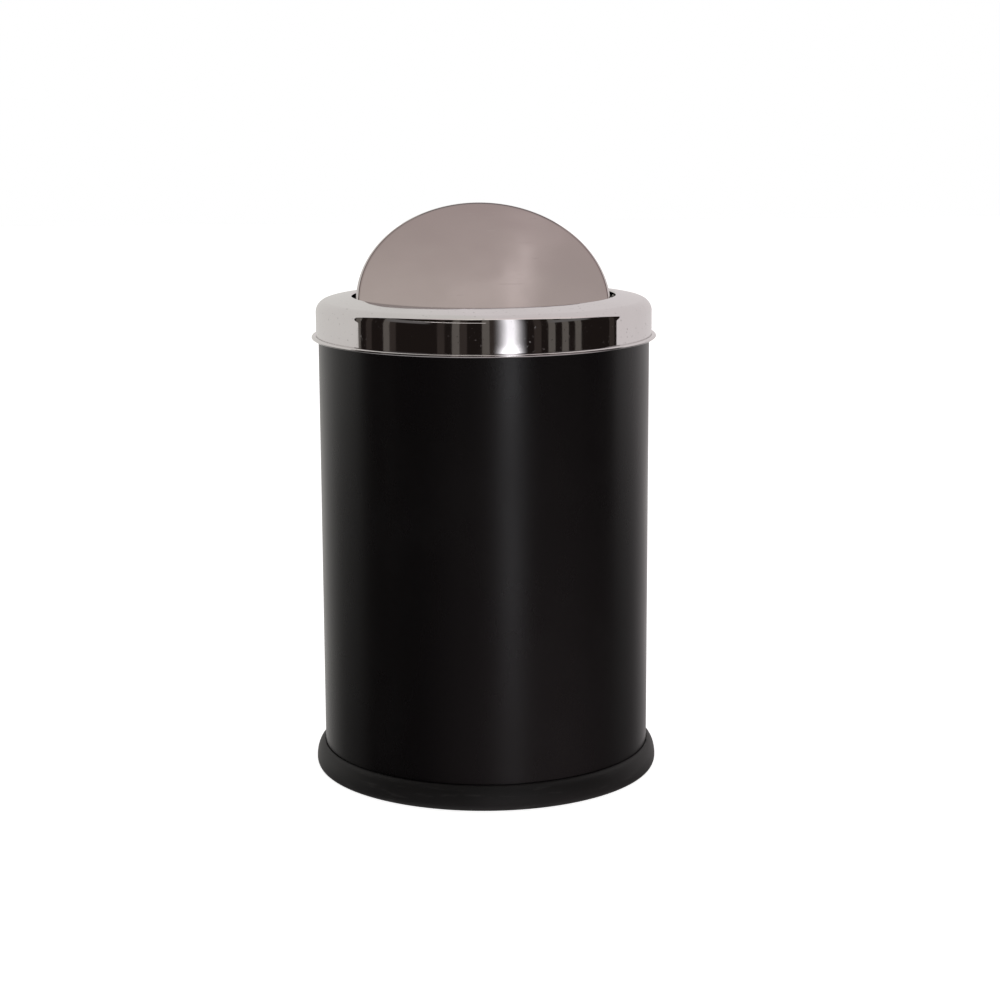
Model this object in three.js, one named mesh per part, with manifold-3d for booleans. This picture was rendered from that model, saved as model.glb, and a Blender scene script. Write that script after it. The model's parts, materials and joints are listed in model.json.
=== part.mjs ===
// Round litter bin with a swing flap, in millimetres, +Z up, origin at the centre of its base.
// Every piece is a closed solid of its own. Pieces that touch keep a gap of SEAT between them.

import * as THREE from 'three';
import { mergeVertices } from 'three/addons/utils/BufferGeometryUtils.js';
import Module from 'manifold-3d';

const wasm = await Module();
wasm.setup();

// --- driving dimensions ---------------------------------------------------------------------

const SEAT = 0.3;            // gap between two pieces that touch
const RUNNING = 0.08;        // radial clearance of a pin that turns in its hole
const ROUND = 60;            // sides of a large turned piece
const SMALL_ROUND = 20;      // sides of a pin, hole or rivet

const SHELL = { radius: 125, sheet: 1, bottom: 6, curl: 1.8 };
const SEAM = { width: 8, proud: 0.5, bottom: 20, top: 350 };
const FOOT = { radius: 131.8, inner: 108, widest: 5, top: 18.5, ledge: 9, flat: 128.8 };
const PAN = { sheet: 1, flange: 5 };
const SCREW = { circle: 114, head: 4, headHeight: 2, shank: 1.8, recess: 3, count: 4 };

const COLLAR = { radius: 126.8, sheet: 0.8, wallTop: 352.1, shoulder: 9.2 };
const BEAD = { z: 333.1, depth: 2.1, halfHeight: 1.4 };   // the collar's rolled lower edge
const TOP_SLOPE = 9.5;       // degrees, the collar's top rises towards its hole
const THROAT = { radius: 99.4, lip: 1.4, bottom: 348 };

const PIVOT_Z = 358;         // height of the flap's pivot
const FLAP_TILT = 46.3;      // degrees, the flap's back half is up
const FLAP = { radius: 96.5, sheet: 1, bend: 3, skirt: -0.5 };
const ROD = { radius: 2.2, halfLength: 104.4 };
const SADDLE = { length: 18, halfWidth: 11, sheet: 1.2, offset: 78 };
const BUSH = { flange: 4.2, flangeX: 97.8, flangeSheet: 1.1, body: 3.1, end: 101.6 };
const CAP = { radius: 3.6, start: 102, end: 105.6 };

const PAIL = { bottomRadius: 108, topRadius: 116, sheet: 1, top: 330, curl: 2.2, flange: 5 };
const EAR = { outerX: 114, sheet: 1.5, halfWidth: 8, bottom: 311 };
const EAR_RIVET = { head: 2.6, headHeight: 0.8, shank: 1.2, offsetY: 4.2, z: 318, endX: 117.9 };
const BAIL = { z: 338, radius: 117.5, wire: 2, stubX: 110.5 };

// --- materials ------------------------------------------------------------------------------

function material(color, roughness, metalness) {
  return new THREE.MeshStandardMaterial({ color, roughness, metalness });
}

const powderBlack = material(0x141414, 0.45, 0.1);
const mouldedBlack = material(0x1c1c1d, 0.7, 0);
const chrome = material(0xd6d2d2, 0.06, 1);
const polishedSteel = material(0xa79d9a, 0.18, 1);
const galvanised = material(0x9a9fa2, 0.5, 0.9);
const plainSteel = material(0x8d8f91, 0.35, 1);
const nylon = material(0xc9c4b6, 0.5, 0);

// --- shape helpers --------------------------------------------------------------------------

function degrees(angle) {
  return THREE.MathUtils.degToRad(angle);
}

// Points of an arc in the plane of a turned outline: x is the radius and y is the height.
function arc(centreR, centreZ, radiusR, from, to, steps, radiusZ = radiusR) {
  const points = [];
  for (let i = 0; i <= steps; i += 1) {
    const angle = degrees(from + (to - from) * (i / steps));
    points.push([centreR + radiusR * Math.cos(angle), centreZ + radiusZ * Math.sin(angle)]);
  }
  return points;
}

// Turns a closed, counterclockwise outline of [radius, height] points around +Z.
function turned(outline, sides = ROUND) {
  const points = outline.map(([r, z]) => new THREE.Vector2(r, z));
  const touchesAxis = outline.some(([r]) => r === 0);
  if (!touchesAxis) {
    points.push(points[0].clone());
  }
  const geometry = new THREE.LatheGeometry(points, sides);
  geometry.rotateX(Math.PI / 2);
  return geometry;
}

// Extrudes an outline of [x, y] points by a height along +Z.
function extruded(outline, height, holes = []) {
  const shape = new THREE.Shape(outline.map(([x, y]) => new THREE.Vector2(x, y)));
  shape.holes = holes;
  return new THREE.ExtrudeGeometry(shape, { depth: height, bevelEnabled: false });
}

function solid(geometry) {
  const bare = geometry.clone();
  bare.deleteAttribute('normal');
  bare.deleteAttribute('uv');
  const merged = mergeVertices(bare, 1e-4);
  const mesh = new wasm.Mesh({
    numProp: 3,
    vertProperties: new Float32Array(merged.attributes.position.array),
    triVerts: new Uint32Array(merged.index.array),
  });
  return new wasm.Manifold(mesh);
}

function geometryOf(manifold) {
  const mesh = manifold.getMesh();
  const geometry = new THREE.BufferGeometry();
  geometry.setAttribute('position', new THREE.BufferAttribute(mesh.vertProperties, 3));
  geometry.setIndex(new THREE.BufferAttribute(mesh.triVerts, 1));
  geometry.computeVertexNormals();
  return geometry;
}

function cut(geometry, tools) {
  let result = solid(geometry);
  for (const tool of tools) {
    result = result.subtract(solid(tool));
  }
  return geometryOf(result);
}

function joined(geometry, additions) {
  let result = solid(geometry);
  for (const addition of additions) {
    result = result.add(solid(addition));
  }
  return geometryOf(result);
}

function cylinderAlongZ(radius, bottom, top, sides = SMALL_ROUND) {
  const geometry = new THREE.CylinderGeometry(radius, radius, top - bottom, sides);
  geometry.rotateX(Math.PI / 2);
  geometry.translate(0, 0, (bottom + top) / 2);
  return geometry;
}

function cylinderAlongX(radius, from, to, sides = SMALL_ROUND) {
  const geometry = cylinderAlongZ(radius, from, to, sides);
  geometry.rotateY(Math.PI / 2);
  return geometry;
}

// --- shell and foot -------------------------------------------------------------------------

function shellInner() {
  return SHELL.radius - SHELL.sheet;
}

// The shell's inward curl touches the inside of the collar's shoulder.
function shellCurlCentre() {
  const r = SHELL.radius - SHELL.curl;
  const shoulderR = COLLAR.radius - COLLAR.shoulder;
  const reach = COLLAR.shoulder - COLLAR.sheet - SEAT - SHELL.curl;
  return { r, z: COLLAR.wallTop + Math.sqrt(reach ** 2 - (r - shoulderR) ** 2) };
}

function bodyShell() {
  const curl = shellCurlCentre();
  const outline = [
    [shellInner(), SHELL.bottom],
    [SHELL.radius, SHELL.bottom],
    ...arc(curl.r, curl.z, SHELL.curl, 0, 270, 7),
    [shellInner(), curl.z - SHELL.curl],
  ];
  const depth = SEAM.proud + SHELL.sheet / 2;
  const seam = new THREE.BoxGeometry(SEAM.width, depth, SEAM.top - SEAM.bottom);
  seam.translate(0, SHELL.radius + SEAM.proud - depth / 2, (SEAM.top + SEAM.bottom) / 2);
  return joined(turned(outline), [seam]);
}

function screwPlaces() {
  const places = [];
  for (let i = 0; i < SCREW.count; i += 1) {
    const angle = degrees(45 + i * (360 / SCREW.count));
    places.push(new THREE.Vector3(SCREW.circle * Math.cos(angle), SCREW.circle * Math.sin(angle), 0));
  }
  return places;
}

function drills(radius, bottom, top) {
  return screwPlaces().map((place) => cylinderAlongZ(radius, bottom, top).translate(place.x, place.y, 0));
}

function footRing() {
  const grooveOuter = SHELL.radius + SEAT;
  const grooveInner = shellInner() - SEAT;
  const bulge = FOOT.radius - grooveOuter;
  const toe = FOOT.radius - FOOT.flat;
  const outline = [
    [FOOT.inner, 0],
    ...arc(FOOT.flat, FOOT.widest, toe, 270, 360, 3, FOOT.widest),
    ...arc(grooveOuter, FOOT.widest, bulge, 12, 90, 6, FOOT.top - FOOT.widest),
    [grooveOuter, SHELL.bottom - SEAT],
    [grooveInner, SHELL.bottom - SEAT],
    [grooveInner, FOOT.ledge],
    [FOOT.inner, FOOT.ledge],
  ];
  const recess = drills(SCREW.head + SEAT, -1, SCREW.recess);
  const shanks = drills(SCREW.shank + SEAT, 0, FOOT.ledge + 1);
  return cut(turned(outline), [...recess, ...shanks]);
}

function basePan() {
  const bottom = FOOT.ledge + SEAT;
  const outer = shellInner() - SEAT;
  const outline = [
    [0, bottom],
    [outer, bottom],
    [outer, bottom + PAN.sheet + PAN.flange],
    [outer - PAN.sheet, bottom + PAN.sheet + PAN.flange],
    [outer - PAN.sheet, bottom + PAN.sheet],
    [0, bottom + PAN.sheet],
  ];
  return cut(turned(outline), drills(SCREW.shank + SEAT, bottom - 1, bottom + PAN.sheet + 1));
}

function footScrew() {
  const headTop = SCREW.recess - SEAT;
  const headBottom = headTop - SCREW.headHeight;
  const tip = FOOT.ledge + PAN.sheet + 3;
  const outline = [
    [0, headBottom],
    [SCREW.head - 1, headBottom],
    [SCREW.head, headBottom + 1],
    [SCREW.head, headTop],
    [SCREW.shank, headTop],
    [SCREW.shank, tip - 1],
    [SCREW.shank - 1, tip],
    [0, tip],
  ];
  return turned(outline, SMALL_ROUND);
}

// --- collar ---------------------------------------------------------------------------------

function collarOutline() {
  const { radius, sheet, wallTop, shoulder } = COLLAR;
  const beadR = radius - sheet + BEAD.depth;
  const beadEnd = 360 + THREE.MathUtils.radToDeg(Math.acos((radius - beadR) / BEAD.depth));
  const shoulderR = radius - shoulder;
  const turn = 90 - TOP_SLOPE;
  const lipR = THROAT.radius + THROAT.lip;
  const edgeR = lipR + THROAT.lip * Math.cos(degrees(turn));
  const shoulderEdge = arc(shoulderR, wallTop, shoulder, turn, turn, 1)[0];
  const edgeZ = shoulderEdge[1] + (shoulderEdge[0] - edgeR) * Math.tan(degrees(TOP_SLOPE));
  const lipZ = edgeZ - THROAT.lip * Math.sin(degrees(turn));
  return [
    ...arc(beadR, BEAD.z, BEAD.depth, 180, beadEnd, 7, BEAD.halfHeight),
    ...arc(shoulderR, wallTop, shoulder, 0, turn, 5),
    ...arc(lipR, lipZ, THROAT.lip, turn, 180, 3),
    [THROAT.radius, THROAT.bottom],
    [THROAT.radius + sheet, THROAT.bottom],
    ...arc(lipR, lipZ, THROAT.lip - sheet, 180, turn, 1),
    ...arc(shoulderR, wallTop, shoulder - sheet, turn, 0, 3),
  ];
}

function lidCollar() {
  const reach = THROAT.radius + 5;
  const bore = cylinderAlongX(BUSH.body + SEAT, -reach, reach).translate(0, 0, PIVOT_Z);
  return cut(turned(collarOutline()), [bore]);
}

// Bush and cap are turned about their own axis and then laid along +X.
function laidAlongX(geometry) {
  return geometry.rotateY(Math.PI / 2);
}

function pivotBush() {
  const bore = ROD.radius + RUNNING;
  const flangeEnd = BUSH.flangeX + BUSH.flangeSheet;
  const outline = [
    [bore, BUSH.flangeX],
    [BUSH.flange, BUSH.flangeX],
    [BUSH.flange, flangeEnd],
    [BUSH.body, flangeEnd],
    [BUSH.body, BUSH.end],
    [bore, BUSH.end],
  ];
  return laidAlongX(turned(outline, SMALL_ROUND));
}

// --- flap -----------------------------------------------------------------------------------

function plateUnderside() {
  return ROD.radius + SEAT;
}

// A flat disc whose edge is turned down all round.
function flapPlate() {
  const underside = plateUnderside();
  const top = underside + FLAP.sheet;
  const bendR = FLAP.radius - FLAP.bend;
  const bendZ = top - FLAP.bend;
  const outline = [
    [0, underside],
    ...arc(bendR, bendZ, FLAP.bend - FLAP.sheet, 90, 0, 4),
    [FLAP.radius - FLAP.sheet, FLAP.skirt],
    [FLAP.radius, FLAP.skirt],
    ...arc(bendR, bendZ, FLAP.bend, 0, 90, 6),
    [0, top],
  ];
  const reach = FLAP.radius + 5;
  const notch = cylinderAlongX(ROD.radius + SEAT, -reach, reach);
  return cut(turned(outline), [notch]);
}

function pivotRod() {
  return cylinderAlongX(ROD.radius, -ROD.halfLength, ROD.halfLength);
}

// A strap with two flat feet against the plate and a loop under the rod.
function rodSaddle() {
  const footTop = plateUnderside() - SEAT;
  const footBottom = footTop - SADDLE.sheet;
  const inner = ROD.radius + SEAT;
  const outer = inner + SADDLE.sheet;
  const outline = [
    [-SADDLE.halfWidth, footBottom],
    [-outer, footBottom],
    ...arc(0, 0, outer, 180, 360, 8),
    [outer, footBottom],
    [SADDLE.halfWidth, footBottom],
    [SADDLE.halfWidth, footTop],
    [inner, footTop],
    ...arc(0, 0, inner, 360, 180, 8),
    [-inner, footTop],
    [-SADDLE.halfWidth, footTop],
  ];
  const geometry = extruded(outline, SADDLE.length);
  geometry.translate(0, 0, -SADDLE.length / 2);
  geometry.rotateX(Math.PI / 2);
  geometry.rotateZ(Math.PI / 2);
  return geometry;
}

function rodCap() {
  const bore = ROD.radius + SEAT;
  const floor = ROD.halfLength + SEAT;
  const outline = [
    [0, floor],
    [bore, floor],
    [bore, CAP.start],
    [CAP.radius, CAP.start],
    [CAP.radius, CAP.end - 1],
    [CAP.radius - 1, CAP.end],
    [0, CAP.end],
  ];
  return laidAlongX(turned(outline, SMALL_ROUND));
}

// --- inner pail -----------------------------------------------------------------------------

function pailBottom() {
  return FOOT.ledge + SEAT + PAN.sheet + SEAT;
}

function rivetPlaces() {
  const places = [];
  for (const side of [-1, 1]) {
    for (const end of [-1, 1]) {
      places.push({ side, end, y: end * EAR_RIVET.offsetY });
    }
  }
  return places;
}

function linerWall() {
  const { bottomRadius, topRadius, sheet, top, curl } = PAIL;
  const outline = [
    [bottomRadius - sheet, pailBottom()],
    [bottomRadius, pailBottom()],
    ...arc(topRadius - sheet + curl, top, curl, 240, 540, 7),
  ];
  const holes = rivetPlaces().map(({ side, y }) => {
    const hole = cylinderAlongX(EAR_RIVET.shank + SEAT, EAR.outerX - 5, EAR_RIVET.endX + 2, 12);
    return hole.rotateZ(side < 0 ? Math.PI : 0).translate(0, y, EAR_RIVET.z);
  });
  return cut(turned(outline), holes);
}

function linerBase() {
  const outer = PAIL.bottomRadius - PAIL.sheet - SEAT;
  const bottom = pailBottom();
  const outline = [
    [0, bottom + PAIL.flange - PAIL.sheet],
    [outer - PAIL.sheet, bottom + PAIL.flange - PAIL.sheet],
    [outer - PAIL.sheet, bottom],
    [outer, bottom],
    [outer, bottom + PAIL.flange],
    [0, bottom + PAIL.flange],
  ];
  return turned(outline);
}

// A flat ear on the +X side with a round head about the bail's axis.
function bailEar() {
  const outline = [
    [-EAR.halfWidth, EAR.bottom],
    [EAR.halfWidth, EAR.bottom],
    ...arc(0, BAIL.z, EAR.halfWidth - 1, 0, 180, 8),
  ];
  const holes = [hole(0, BAIL.z, BAIL.wire + 0.12, SMALL_ROUND)];
  for (const end of [-1, 1]) {
    holes.push(hole(end * EAR_RIVET.offsetY, EAR_RIVET.z, EAR_RIVET.shank + SEAT, 12));
  }
  const geometry = extruded(outline, EAR.sheet, holes);
  geometry.rotateX(Math.PI / 2);
  geometry.rotateZ(Math.PI / 2);
  geometry.translate(EAR.outerX - EAR.sheet, 0, 0);
  return geometry;
}

function hole(x, y, radius, sides) {
  const points = arc(x, y, radius, 360, 360 / sides, sides - 1);
  return new THREE.Path(points.map(([px, py]) => new THREE.Vector2(px, py)));
}

function earRivet() {
  const start = EAR.outerX - EAR.sheet - SEAT - EAR_RIVET.headHeight;
  const { head, headHeight, shank, endX } = EAR_RIVET;
  const outline = [
    [0, start],
    [head - 0.6, start],
    [head, start + headHeight],
    [shank, start + headHeight],
    [shank, endX - headHeight],
    [head - 0.4, endX - headHeight],
    [head - 0.8, endX],
    [0, endX],
  ];
  return laidAlongX(turned(outline, 12));
}

// The bail lies back along the pail's rim. Its ends turn inwards through the ears.
function bailWire() {
  class HalfCircle extends THREE.Curve {
    getPoint(t) {
      const angle = Math.PI * t;
      return new THREE.Vector3(BAIL.radius * Math.cos(angle), BAIL.radius * Math.sin(angle), 0);
    }
  }
  const section = new THREE.Shape(arc(0, 0, BAIL.wire, 0, 315, 7).map(([x, y]) => new THREE.Vector2(x, y)));
  const bow = new THREE.ExtrudeGeometry(section, { steps: 40, extrudePath: new HalfCircle() });
  const stubEnd = BAIL.radius + BAIL.wire * 0.9;
  const stubs = [-1, 1].map((side) => {
    const stub = cylinderAlongX(BAIL.wire, BAIL.stubX, stubEnd, 12);
    return stub.rotateZ(side < 0 ? Math.PI : 0);
  });
  return joined(bow, stubs);
}

// --- assembly -------------------------------------------------------------------------------

function piece(name, geometry, pieceMaterial, x = 0, y = 0, z = 0) {
  const mesh = new THREE.Mesh(geometry, pieceMaterial);
  mesh.name = name;
  mesh.position.set(x, y, z);
  return mesh;
}

// A copy of a piece made on the +X side, turned half round to the -X side if side is negative.
function sidePiece(name, side, geometry, pieceMaterial, y = 0, z = 0) {
  const mesh = piece(name, geometry, pieceMaterial, 0, y, z);
  mesh.rotation.z = side < 0 ? Math.PI : 0;
  return mesh;
}

const SIDES = [['left', -1], ['right', 1]];

function buildBase() {
  const base = new THREE.Group();
  base.add(piece('body_shell', bodyShell(), powderBlack));
  base.add(piece('foot_ring', footRing(), mouldedBlack));
  base.add(piece('base_pan', basePan(), powderBlack));
  screwPlaces().forEach((place, i) => {
    base.add(piece(`foot_screw_${i + 1}`, footScrew(), plainSteel, place.x, place.y, 0));
  });
  return base;
}

function buildLiner() {
  const liner = new THREE.Group();
  liner.add(piece('liner_wall', linerWall(), galvanised));
  liner.add(piece('liner_base', linerBase(), galvanised));
  for (const [word, side] of SIDES) {
    liner.add(sidePiece(`bail_ear_${word}`, side, bailEar(), plainSteel));
  }
  for (const { side, end, y } of rivetPlaces()) {
    const name = `ear_rivet_${side < 0 ? 'left' : 'right'}_${end < 0 ? 'front' : 'back'}`;
    liner.add(sidePiece(name, side, earRivet(), plainSteel, y, EAR_RIVET.z));
  }
  liner.add(piece('bail_wire', bailWire(), plainSteel, 0, 0, BAIL.z));
  return liner;
}

function buildFlap() {
  const flap = new THREE.Group();
  flap.position.z = PIVOT_Z;
  flap.rotation.x = degrees(FLAP_TILT);
  flap.add(piece('flap_plate', flapPlate(), polishedSteel));
  flap.add(piece('pivot_rod', pivotRod(), plainSteel));
  const saddles = [['left', -SADDLE.offset], ['centre', 0], ['right', SADDLE.offset]];
  for (const [word, x] of saddles) {
    flap.add(piece(`rod_saddle_${word}`, rodSaddle(), plainSteel, x));
  }
  for (const [word, side] of SIDES) {
    flap.add(sidePiece(`rod_cap_${word}`, side, rodCap(), plainSteel));
  }
  return flap;
}

function buildLid() {
  const lid = new THREE.Group();
  lid.add(piece('lid_collar', lidCollar(), chrome));
  for (const [word, side] of SIDES) {
    lid.add(sidePiece(`pivot_bush_${word}`, side, pivotBush(), nylon, 0, PIVOT_Z));
  }
  lid.add(buildFlap());
  return lid;
}

const bin = new THREE.Group();
bin.add(buildBase());
bin.add(buildLiner());
bin.add(buildLid());

export default bin;
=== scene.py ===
"""Round litter bin with a swing flap: fine surfaces, finishes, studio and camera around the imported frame.

Outlines and sizes are in millimetres, and become metres when a mesh is made. Every CAD node is stood
for by a finer piece of the same size and place, which rides on the node's own body.
"""

import json
import math

import bmesh
import bpy
from mathutils import Matrix, Vector


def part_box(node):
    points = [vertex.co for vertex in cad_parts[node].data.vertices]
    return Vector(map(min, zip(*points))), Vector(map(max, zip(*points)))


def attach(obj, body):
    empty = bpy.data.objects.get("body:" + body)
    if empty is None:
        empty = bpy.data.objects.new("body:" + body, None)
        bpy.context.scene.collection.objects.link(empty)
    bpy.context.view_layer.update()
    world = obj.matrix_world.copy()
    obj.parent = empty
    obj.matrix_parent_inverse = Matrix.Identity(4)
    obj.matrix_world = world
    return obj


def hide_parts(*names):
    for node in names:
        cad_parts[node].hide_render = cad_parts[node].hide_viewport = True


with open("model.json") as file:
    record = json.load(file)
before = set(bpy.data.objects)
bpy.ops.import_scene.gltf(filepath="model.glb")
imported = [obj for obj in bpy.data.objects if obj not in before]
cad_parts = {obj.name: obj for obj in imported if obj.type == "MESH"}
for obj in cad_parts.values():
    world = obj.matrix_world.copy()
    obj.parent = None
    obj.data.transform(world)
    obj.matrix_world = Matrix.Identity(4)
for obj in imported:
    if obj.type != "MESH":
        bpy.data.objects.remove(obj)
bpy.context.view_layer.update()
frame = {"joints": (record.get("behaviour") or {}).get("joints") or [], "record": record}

MM = 0.001


# --- sizes, read from the frame where a node's box gives them -----------------------------------

def reach(node):
    """Largest X of a CAD node, in millimetres."""
    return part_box(node)[1].x / MM


def bottom(node):
    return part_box(node)[0].z / MM


def top(node):
    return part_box(node)[1].z / MM


def joint(name):
    return next(j for j in frame["joints"] if j["name"] == name)


SEAT = 0.3
SHEET = 1.0

SHELL_RADIUS = reach("body_shell")
SHELL_INNER = SHELL_RADIUS - SHEET
SHELL_CURL = 1.8
SEAM = {"half_width": 4.0, "edge": 0.6, "proud": 0.5, "bottom": 20.0, "top": 350.0}
WELD = {"pitch": 36.0, "radius": 2.4, "depth": 0.25, "first": 41.0, "count": 9}

FOOT_RADIUS = reach("foot_ring")
FOOT_TOP = top("foot_ring")
FOOT_INNER = 108.0
FOOT_WIDEST = 5.0
FOOT_FLAT = 128.8
FOOT_LEDGE = 9.0
GROOVE_OUTER = SHELL_RADIUS + SEAT
GROOVE_FLOOR = 5.7

PAN_RADIUS = reach("base_pan")
PAN_BOTTOM = bottom("base_pan")
PAN_TOP = top("base_pan")

SCREW = {"circle": 114.0, "head": 4.0, "shank": 1.8, "recess": 3.0, "head_height": 2.0, "pitch": 1.6}

COLLAR_SHEET = 0.8
COLLAR_RADIUS = 126.8
BEAD = {"z": 333.1, "depth": 2.1, "half_height": 1.4}
COLLAR_WALL_TOP = 352.1
COLLAR_SHOULDER = 9.2
TOP_SLOPE = 9.5
THROAT_RADIUS = 99.4
THROAT_LIP = 1.4
THROAT_BOTTOM = 348.0

PIVOT_Z = joint("flap_swing")["pos_m"][2] / MM
FLAP_TILT = 90.0 - joint("flap_swing")["range_deg"][1]
FLAP_RADIUS = reach("flap_plate")
FLAP_BEND = 3.0
FLAP_SKIRT = -0.5
FLAP_GROOVE = 94.2
ROD_RADIUS = 2.2
RUNNING_CLEARANCE = 0.08
ROD_END = reach("pivot_rod")
FLAP_UNDERSIDE = ROD_RADIUS + SEAT
FLAP_TOP = FLAP_UNDERSIDE + SHEET
SADDLE = {"length": 18.0, "half_width": 11.0, "sheet": 1.2}
BUSH = {"flange": 4.2, "start": 97.8, "flange_sheet": 1.1, "body": 3.1, "end": 101.6}
CAP = {"radius": 3.6, "start": 102.0, "end": 105.6}

PAIL_BOTTOM = bottom("liner_wall")
PAIL_FOOT_RADIUS = 108.0
PAIL_TOP_RADIUS = 116.0
PAIL_TOP = 330.0
PAIL_CURL = 2.2
EAR = {"outer": 114.0, "sheet": 1.5, "half_width": 8.0, "bottom": 311.0, "head": 7.0}
RIVET = {"head": 2.6, "head_height": 0.8, "shank": 1.2, "y": 4.2, "z": 318.0, "end": 117.9}
BAIL = {"z": 338.0, "radius": 117.5, "wire": 2.0, "stub": 110.5, "bend": 3.2}

FLAP_PLACE = Matrix.Translation((0, 0, PIVOT_Z)) @ Matrix.Rotation(math.radians(FLAP_TILT), 4, "X")
ALONG_X = Matrix.Rotation(math.radians(90), 4, "Y")
HALF_TURN = Matrix.Rotation(math.radians(180), 4, "Z")
SIDES = {"left": HALF_TURN, "right": Matrix.Identity(4)}


# --- outlines and shapes ------------------------------------------------------------------------

def arc(centre_r, centre_z, radius, start, end, steps, radius_z=None):
    """Points of an arc in an outline's plane, from start to end degrees."""
    radius_z = radius if radius_z is None else radius_z
    points = []
    for i in range(steps + 1):
        angle = math.radians(start + (end - start) * i / steps)
        points.append((centre_r + radius * math.cos(angle), centre_z + radius_z * math.sin(angle)))
    return points


def spread(start, end, steps):
    return [start + (end - start) * i / steps for i in range(steps + 1)]


def round_angles(sides):
    return [2 * math.pi * i / sides for i in range(sides)]


def turned(outline, angles=256, offset=None):
    """An outline of (radius, height), counterclockwise, turned about +Z.

    angles is a number of sides or the list of angles. offset(angle, radius, height) moves a point
    outwards, for shapes that aren't fully round. Outlines end on the axis or close on themselves."""
    angles = round_angles(angles) if isinstance(angles, int) else angles
    points, rows = [], []
    for r, z in outline:
        start = len(points)
        if r == 0:
            points.append((0.0, 0.0, z))
            rows.append([start] * len(angles))
            continue
        for angle in angles:
            wide = r + (offset(angle, r, z) if offset else 0.0)
            points.append((wide * math.cos(angle), wide * math.sin(angle), z))
        rows.append(list(range(start, start + len(angles))))
    pairs = list(zip(rows, rows[1:]))
    if all(r > 0 for r, z in outline):
        pairs.append((rows[-1], rows[0]))
    faces = []
    for lower, upper in pairs:
        for i in range(len(angles)):
            j = (i + 1) % len(angles)
            corners = [lower[i], lower[j], upper[j], upper[i]]
            face = [c for k, c in enumerate(corners) if c != corners[k - 1]]
            if len(face) > 2:
                faces.append(face)
    return points, faces


def extruded(outline, thickness):
    """A closed plate: an outline of (x, y), counterclockwise, from z = 0 up to its thickness."""
    n = len(outline)
    points = [(x, y, 0.0) for x, y in outline] + [(x, y, thickness) for x, y in outline]
    faces = [list(range(n))[::-1], list(range(n, 2 * n))]
    faces += [[i, (i + 1) % n, n + (i + 1) % n, n + i] for i in range(n)]
    return points, faces


def tube(path, radius, sides=24, rounding=0.5):
    """A round bar along a path of points, with its end edges rounded."""
    path = [Vector(p) for p in path]
    tangents = []
    for i in range(len(path)):
        ahead = path[min(i + 1, len(path) - 1)] - path[max(i - 1, 0)]
        tangents.append(ahead.normalized())
    across = tangents[0].orthogonal().normalized()
    stations = []
    for i, tangent in enumerate(tangents):
        across = (across - across.dot(tangent) * tangent).normalized()
        stations.append((path[i], across.copy(), tangent.cross(across), radius))
    first, last = stations[0], stations[-1]
    caps = []
    for angle in (0, 30, 60, 90):
        back = rounding * (1 - math.sin(math.radians(angle)))
        narrow = radius - rounding * (1 - math.cos(math.radians(90 - angle)))
        caps.append((back, narrow))
    head = [(first[0] + tangents[0] * (rounding - b), first[1], first[2], r) for b, r in reversed(caps)]
    tail = [(last[0] - tangents[-1] * (rounding - b), last[1], last[2], r) for b, r in caps]
    head = sorted(head, key=lambda s: (s[0] - first[0]).length)
    tail = sorted(tail, key=lambda s: -(s[0] - last[0]).length)
    stations = head + stations[1:-1] + tail
    points, rows = [], []
    for centre, u, v, r in stations:
        rows.append(range(len(points), len(points) + sides))
        for angle in round_angles(sides):
            points.append(tuple(centre + r * (u * math.cos(angle) + v * math.sin(angle))))
    faces = [list(rows[0])[::-1], list(rows[-1])]
    for lower, upper in zip(rows, rows[1:]):
        for i in range(sides):
            j = (i + 1) % sides
            faces.append([lower[i], lower[j], upper[j], upper[i]])
    return points, faces


def rod_shape(radius, start, end, sides=32):
    """A plain bar along +Z, used as a cutting tool."""
    return turned([(0, start), (radius, start), (radius, end), (0, end)], sides)


def bump_on(value, centre, half_width, height):
    """A smooth ridge of a given height about a centre, zero beyond its half width."""
    distance = abs(value - centre) / half_width
    return height * (0.5 + 0.5 * math.cos(math.pi * distance)) if distance < 1 else 0.0


# --- objects ------------------------------------------------------------------------------------

def mesh_object(name, shape, place=None):
    points, faces = shape
    mesh = bpy.data.meshes.new(name)
    mesh.from_pydata([Vector(p) * MM for p in points], [], faces)
    obj = bpy.data.objects.new(name, mesh)
    bpy.context.scene.collection.objects.link(obj)
    if place is not None:
        metres = place.copy()
        metres.translation *= MM
        mesh.transform(metres)
    outward(mesh)
    return obj


def outward(mesh):
    work = bmesh.new()
    work.from_mesh(mesh)
    bmesh.ops.recalc_face_normals(work, faces=work.faces)
    work.to_mesh(mesh)
    work.free()


def settle(obj):
    """Applies an object's modifiers to its mesh."""
    bpy.context.view_layer.update()
    evaluated = obj.evaluated_get(bpy.context.evaluated_depsgraph_get())
    mesh = bpy.data.meshes.new_from_object(evaluated)
    obj.modifiers.clear()
    obj.data = mesh


def bevelled(obj, width, segments=3, angle=40):
    modifier = obj.modifiers.new("bevel", "BEVEL")
    modifier.width = width * MM
    modifier.segments = segments
    modifier.limit_method = "ANGLE"
    modifier.angle_limit = math.radians(angle)
    settle(obj)


def cut(obj, tools):
    """Takes each tool shape, or (shape, place), away from an object."""
    for shape, place in tools:
        tool = mesh_object("tool", shape, place)
        modifier = obj.modifiers.new("cut", "BOOLEAN")
        modifier.operation = "DIFFERENCE"
        modifier.solver = "EXACT"
        modifier.object = tool
        settle(obj)
        bpy.data.objects.remove(tool)


BODIES = {n: b for b, members in frame["record"]["behaviour"]["bodies"].items() for n in members}
SLOTS = {row["node"]: row["material_slot"] for row in frame["record"]["subparts"]}
FINISHES = {}


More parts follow.
